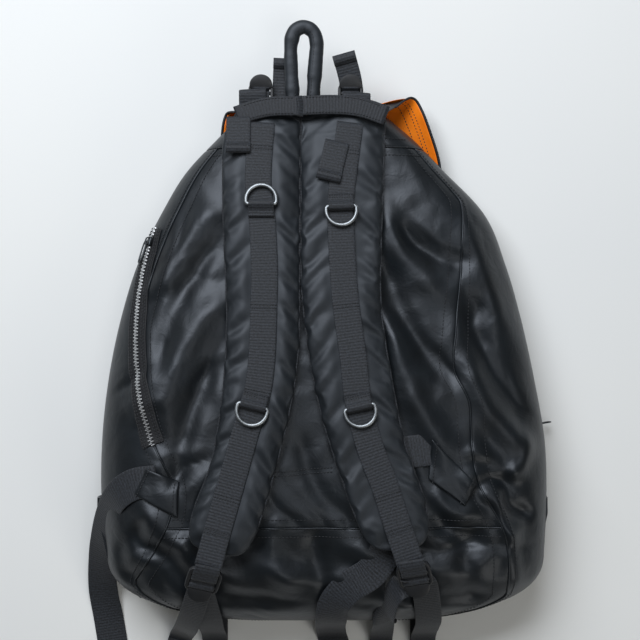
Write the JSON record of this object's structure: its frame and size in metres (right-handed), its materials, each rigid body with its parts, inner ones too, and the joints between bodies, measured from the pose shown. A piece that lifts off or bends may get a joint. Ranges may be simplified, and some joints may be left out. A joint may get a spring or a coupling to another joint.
{
  "type": "travel_backpack",
  "caption": "Black nylon travel backpack with orange lining, padded harness, ring loops, grab handle, side zips and waist webbing, lying on its front.",
  "frame": {"origin": "Middle of the footprint of the whole bag, on the surface that it lies on, front face down.", "axes": "+Y points along the bag to the grab handle, +X across it, +Z out of the back panel, away from the surface."},
  "size_m": [0.4668, 0.6503, 0.1396],
  "materials": {
    "black_nylon": "glossy black nylon satin",
    "black_webbing": "ribbed black webbing and tape",
    "orange_lining": "bright orange nylon lining",
    "foam": "closed-cell foam inside the pads",
    "satin_nickel": "satin nickel wire rings",
    "zip_metal": "bright nickel zip teeth",
    "black_acetal": "moulded black acetal buckles"
  },
  "bodies": {
    "bag": {"back_foam": "foam", "back_panel": "black_nylon", "base_panel": "black_nylon", "collar": "black_nylon", "front_panel": "black_nylon", "front_pocket": "black_nylon", "left_gusset": "black_nylon", "left_zip_tape": "black_webbing", "left_zip_teeth": "zip_metal", "loop_patches": "black_webbing", "lower_webbing_left": "black_webbing", "lower_webbing_right": "black_webbing", "main_lining": "orange_lining", "right_gusset": "black_nylon", "right_zip_tape": "black_webbing", "right_zip_teeth": "zip_metal", "side_pocket_left": "black_nylon", "side_pocket_right": "black_nylon", "top_band": "black_webbing", "upper_lock_left": "black_acetal", "upper_lock_right": "black_acetal", "upper_tail_left": "black_webbing", "upper_tail_right": "black_webbing", "waist_buckle_female": "black_acetal", "waist_buckle_male": "black_acetal", "waist_strap_left": "black_webbing", "waist_strap_right": "black_webbing", "waist_wing_left": "black_nylon", "waist_wing_right": "black_nylon"},
    "lid": {"lid_shell": "black_nylon", "lid_lining": "orange_lining", "hook_patches": "black_webbing"},
    "handle": {"grab_handle": "black_nylon"},
    "strap_left": {"pad_cover_left": "black_nylon", "pad_foam_left": "foam", "pad_webbing_left": "black_webbing", "ring_keeper_upper_left": "black_webbing", "ring_keeper_lower_left": "black_webbing", "tail_tab_left": "black_webbing"},
    "strap_right": {"pad_cover_right": "black_nylon", "pad_foam_right": "foam", "pad_webbing_right": "black_webbing", "ring_keeper_upper_right": "black_webbing", "ring_keeper_lower_right": "black_webbing", "tail_tab_right": "black_webbing"},
    "lock_left": {"ladder_lock_left": "black_acetal", "lock_tail_left": "black_webbing"},
    "lock_right": {"ladder_lock_right": "black_acetal", "lock_tail_right": "black_webbing"},
    "left_slider": {"left_zip_slider": "zip_metal"},
    "left_pull": {"left_zip_pull": "zip_metal"},
    "right_slider": {"right_zip_slider": "zip_metal"},
    "right_pull": {"right_zip_pull": "zip_metal"},
    "ring_upper_left": {"d_ring_upper_left": "satin_nickel"},
    "ring_upper_right": {"d_ring_upper_right": "satin_nickel"},
    "ring_lower_left": {"d_ring_lower_left": "satin_nickel"},
    "ring_lower_right": {"d_ring_lower_right": "satin_nickel"}
  },
  "joints": [
    {"name": "lid_hinge", "type": "hinge", "parent": "bag", "child": "lid", "pos_m": [0, 0.2465, 0.053], "axis": [1, 0, 0], "range_deg": [0, 90]},
    {"name": "handle_fold", "type": "hinge", "parent": "bag", "child": "handle", "pos_m": [-0.012, 0.249, 0.067], "axis": [1, 0, 0], "range_deg": [0, 130]},
    {"name": "strap_left_lift", "type": "hinge", "parent": "bag", "child": "strap_left", "pos_m": [-0.05, 0.2255, 0.062], "axis": [-1, 0, 0], "range_deg": [0, 15]},
    {"name": "strap_right_lift", "type": "hinge", "parent": "bag", "child": "strap_right", "pos_m": [0.024, 0.2255, 0.062], "axis": [-1, 0, 0], "range_deg": [0, 15]},
    {"name": "ring_upper_left_flip", "type": "hinge", "parent": "strap_left", "child": "ring_upper_left", "pos_m": [-0.0508, 0.14725, 0.09137], "axis": [1, 0, 0], "range_deg": [0, 150]},
    {"name": "ring_upper_right_flip", "type": "hinge", "parent": "strap_right", "child": "ring_upper_right", "pos_m": [0.0245, 0.14527, 0.09164], "axis": [-0.9994, -0.0349, 0], "range_deg": [0, 150]},
    {"name": "ring_lower_left_flip", "type": "hinge", "parent": "strap_left", "child": "ring_lower_left", "pos_m": [-0.057, -0.04103, 0.11689], "axis": [-0.9703, 0.2419, 0], "range_deg": [0, 150]},
    {"name": "ring_lower_right_flip", "type": "hinge", "parent": "strap_right", "child": "ring_lower_right", "pos_m": [0.0408, -0.04202, 0.11702], "axis": [-0.9744, -0.225, 0], "range_deg": [0, 150]},
    {"name": "lock_left_tilt", "type": "hinge", "parent": "strap_left", "child": "lock_left", "pos_m": [-0.098, -0.18905, 0.13417], "axis": [-0.9563, 0.2424, 0.1635], "range_deg": [0, 35]},
    {"name": "lock_right_tilt", "type": "hinge", "parent": "strap_right", "child": "lock_right", "pos_m": [0.088, -0.1841, 0.1335], "axis": [-0.9744, -0.1908, -0.1192], "range_deg": [0, 35]},
    {"name": "left_zip_run", "type": "hinge", "parent": "bag", "child": "left_slider", "pos_m": [0.174, 0.027, 0.0625], "axis": [0.0299, 0.2495, 0.9679], "range_deg": [0, 32]},
    {"name": "left_pull_flip", "type": "hinge", "parent": "left_slider", "child": "left_pull", "pos_m": [-0.16183, 0.1231, 0.0539], "axis": [-0.7763, 0.06, -0.6275], "range_deg": [0, 150]},
    {"name": "right_zip_run", "type": "slide", "parent": "bag", "child": "right_slider", "axis": [-0.1278, 0.9917, -0.0155], "range_m": [0, 0.085]},
    {"name": "right_pull_flip", "type": "hinge", "parent": "right_slider", "child": "right_pull", "pos_m": [0.22361, -0.06557, 0.0169], "axis": [-0.4942, -0.0772, -0.8659], "range_deg": [-75, 75]}
  ]
}
